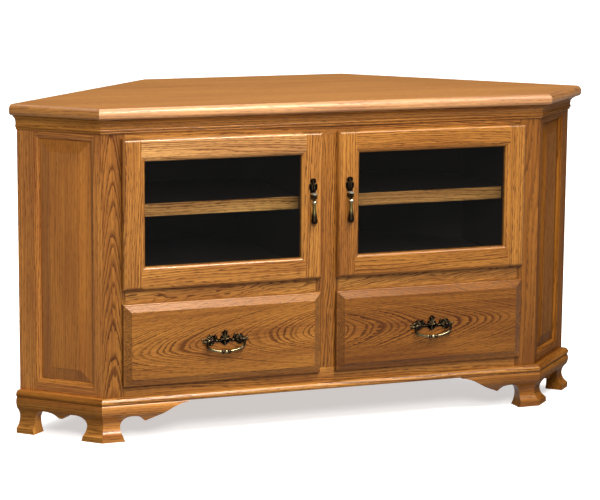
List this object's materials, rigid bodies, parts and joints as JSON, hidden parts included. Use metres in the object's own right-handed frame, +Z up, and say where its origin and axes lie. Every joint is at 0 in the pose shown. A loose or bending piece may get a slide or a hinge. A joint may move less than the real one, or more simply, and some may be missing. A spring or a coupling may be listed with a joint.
{
  "type": "corner tv cabinet",
  "caption": "Oak corner television cabinet with slanted ends, glazed doors over drawers, hanging brass pulls and scrolled ogee bracket feet.",
  "frame": {"origin": "middle of the bounding box on the floor", "axes": "+X to the cabinet's right as seen from its front, -Y out of the front, +Z up"},
  "size_m": [1.5376, 0.6668, 0.813],
  "materials": {
    "oak": "satin lacquer",
    "oak_top": "satin lacquer",
    "oak_board": "matt lacquer",
    "drawer_wood": "matt",
    "dark_board": "matt",
    "glass": "clear",
    "antique_brass": "antiqued",
    "steel": "zinc plated"
  },
  "bodies": {
    "cabinet": {"back_panel": "dark_board", "base_moulding_front": "oak", "base_moulding_sides": "oak", "bay_sides": "dark_board", "bottom_panel": "oak_board", "centre_partitions": "dark_board", "crown_moulding_front": "oak", "crown_moulding_sides": "oak", "face_frame_bottom_rail": "oak", "face_frame_centre_stile": "oak", "face_frame_end_stiles": "oak", "face_frame_middle_rails": "oak", "face_frame_top_rail": "oak", "front_brackets": "oak", "hinge_arms": "steel", "left_end_panel": "oak", "left_end_rails": "oak", "left_end_stiles": "oak", "left_shelf": "oak", "middle_deck": "dark_board", "rear_feet": "oak_board", "right_end_panel": "oak", "right_end_rails": "oak", "right_end_stiles": "oak", "right_shelf": "oak", "shelf_pins": "steel", "side_brackets": "oak", "slide_cabinet_members": "steel", "slide_spacers": "oak_board", "top_panel": "oak_top", "wall_panels": "dark_board"},
    "left_drop": {"left_door_drop": "antique_brass"},
    "left_door": {"left_door_glass": "glass", "left_door_glass_stops": "oak", "left_door_hinge_cups": "steel", "left_door_pull_plate": "antique_brass", "left_door_rails": "oak", "left_door_stiles": "oak"},
    "left_bail": {"left_drawer_bail": "antique_brass"},
    "left_drawer": {"left_drawer_bottom": "drawer_wood", "left_drawer_box": "drawer_wood", "left_drawer_front": "oak", "left_drawer_pull_plate": "antique_brass", "left_drawer_slide_members": "steel"},
    "left_slide": {"left_slide_intermediates": "steel"},
    "right_drop": {"right_door_drop": "antique_brass"},
    "right_door": {"right_door_glass": "glass", "right_door_glass_stops": "oak", "right_door_hinge_cups": "steel", "right_door_pull_plate": "antique_brass", "right_door_rails": "oak", "right_door_stiles": "oak"},
    "right_bail": {"right_drawer_bail": "antique_brass"},
    "right_drawer": {"right_drawer_bottom": "drawer_wood", "right_drawer_box": "drawer_wood", "right_drawer_front": "oak", "right_drawer_pull_plate": "antique_brass", "right_drawer_slide_members": "steel"},
    "right_slide": {"right_slide_intermediates": "steel"}
  },
  "joints": [
    {"name": "left_door_hinge", "type": "hinge", "parent": "cabinet", "child": "left_door", "pos_m": [-0.52351, -0.30215, 0.555], "axis": [0, 0, -1], "range_deg": [0, 95]},
    {"name": "left_drawer_slide", "type": "slide", "parent": "cabinet", "child": "left_drawer", "axis": [0, -1, 0], "range_m": [0, 0.28]},
    {"name": "left_slide_extension", "type": "slide", "parent": "cabinet", "child": "left_slide", "axis": [0, -1, 0], "range_m": [0, 0.14]},
    {"name": "left_bail_swing", "type": "hinge", "parent": "left_drawer", "child": "left_bail", "pos_m": [-0.2765, -0.32565, 0.238], "axis": [-1, 0, 0], "range_deg": [0, 85]},
    {"name": "left_drop_swing", "type": "hinge", "parent": "left_door", "child": "left_drop", "pos_m": [-0.0485, -0.32515, 0.5796], "axis": [-1, 0, 0], "range_deg": [0, 60]},
    {"name": "right_door_hinge", "type": "hinge", "parent": "cabinet", "child": "right_door", "pos_m": [0.52351, -0.30215, 0.555], "axis": [0, 0, 1], "range_deg": [0, 95]},
    {"name": "right_drawer_slide", "type": "slide", "parent": "cabinet", "child": "right_drawer", "axis": [0, -1, 0], "range_m": [0, 0.28]},
    {"name": "right_slide_extension", "type": "slide", "parent": "cabinet", "child": "right_slide", "axis": [0, -1, 0], "range_m": [0, 0.14]},
    {"name": "right_bail_swing", "type": "hinge", "parent": "right_drawer", "child": "right_bail", "pos_m": [0.2765, -0.32565, 0.238], "axis": [-1, 0, 0], "range_deg": [0, 85]},
    {"name": "right_drop_swing", "type": "hinge", "parent": "right_door", "child": "right_drop", "pos_m": [0.0485, -0.32515, 0.5796], "axis": [-1, 0, 0], "range_deg": [0, 60]}
  ],
  "couplings": [
    {"joint": "left_slide_extension", "follows": "left_drawer_slide", "ratio": 0.5},
    {"joint": "right_slide_extension", "follows": "right_drawer_slide", "ratio": 0.5}
  ]
}
